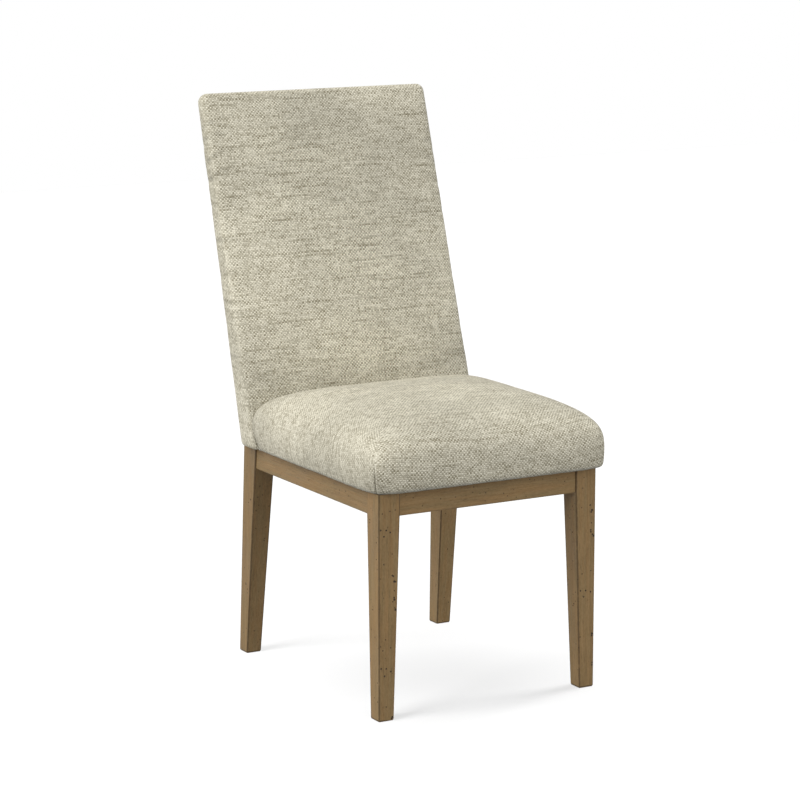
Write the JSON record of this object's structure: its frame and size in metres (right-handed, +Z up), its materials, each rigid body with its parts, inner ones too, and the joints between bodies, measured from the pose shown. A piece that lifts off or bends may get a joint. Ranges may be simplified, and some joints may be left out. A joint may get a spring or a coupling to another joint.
{
  "type": "parsons chair",
  "caption": "Upholstered dining side chair with a tall reclined padded back, a deep crowned seat cushion and an exposed wooden base with tapered legs.",
  "frame": {"origin": "on the floor, below the middle of the chair's outline seen from above", "axes": "+Z up; the chair faces -Y; +X to the right of someone who looks at its front"},
  "size_m": [0.4752, 0.6664, 1.0249],
  "materials": {
    "stained_wood": "medium brown stain, satin, with distress marks",
    "frame_wood": "bare, planed",
    "tweed_cloth": "coarse cream and olive woven cloth",
    "foam": "cut polyurethane foam",
    "wadding": "loose white polyester wadding",
    "webbing": "woven jute webbing",
    "cambric": "black dust cloth",
    "steel": "zinc plated",
    "nylon": "moulded, dark brown"
  },
  "bodies": {
    "root": {"front_leg_left": "stained_wood", "rear_leg_left": "stained_wood", "side_rail_left": "stained_wood", "seat_frame_side_left": "frame_wood", "glide_front_left": "nylon", "corner_block_front_left": "frame_wood", "screw_side_rail_front_left": "steel", "screw_cross_rail_front_left": "steel", "screw_seat_front_left": "steel", "glide_rear_left": "nylon", "corner_block_rear_left": "frame_wood", "screw_side_rail_rear_left": "steel", "screw_cross_rail_rear_left": "steel", "screw_seat_rear_left": "steel", "front_leg_right": "stained_wood", "rear_leg_right": "stained_wood", "side_rail_right": "stained_wood", "seat_frame_side_right": "frame_wood", "glide_front_right": "nylon", "corner_block_front_right": "frame_wood", "screw_side_rail_front_right": "steel", "screw_cross_rail_front_right": "steel", "screw_seat_front_right": "steel", "glide_rear_right": "nylon", "corner_block_rear_right": "frame_wood", "screw_side_rail_rear_right": "steel", "screw_cross_rail_rear_right": "steel", "screw_seat_rear_right": "steel", "front_rail": "stained_wood", "rear_rail": "stained_wood", "seat_frame_front": "frame_wood", "seat_frame_rear": "frame_wood", "seat_webbing_lengthwise_1": "webbing", "seat_webbing_crosswise_1": "webbing", "seat_webbing_lengthwise_2": "webbing", "seat_webbing_crosswise_2": "webbing", "seat_webbing_lengthwise_3": "webbing", "seat_webbing_crosswise_3": "webbing", "seat_foam": "foam", "seat_cover": "tweed_cloth", "seat_dust_cover": "cambric", "back_top_rail": "frame_wood", "back_lower_rail": "frame_wood", "back_webbing_upright_1": "webbing", "back_webbing_crosswise_1": "webbing", "back_webbing_upright_2": "webbing", "back_webbing_crosswise_2": "webbing", "back_webbing_upright_3": "webbing", "back_webbing_crosswise_3": "webbing", "back_foam": "foam", "back_wadding": "wadding", "back_cover": "tweed_cloth", "outside_back_panel": "tweed_cloth"}
  },
  "joints": []
}
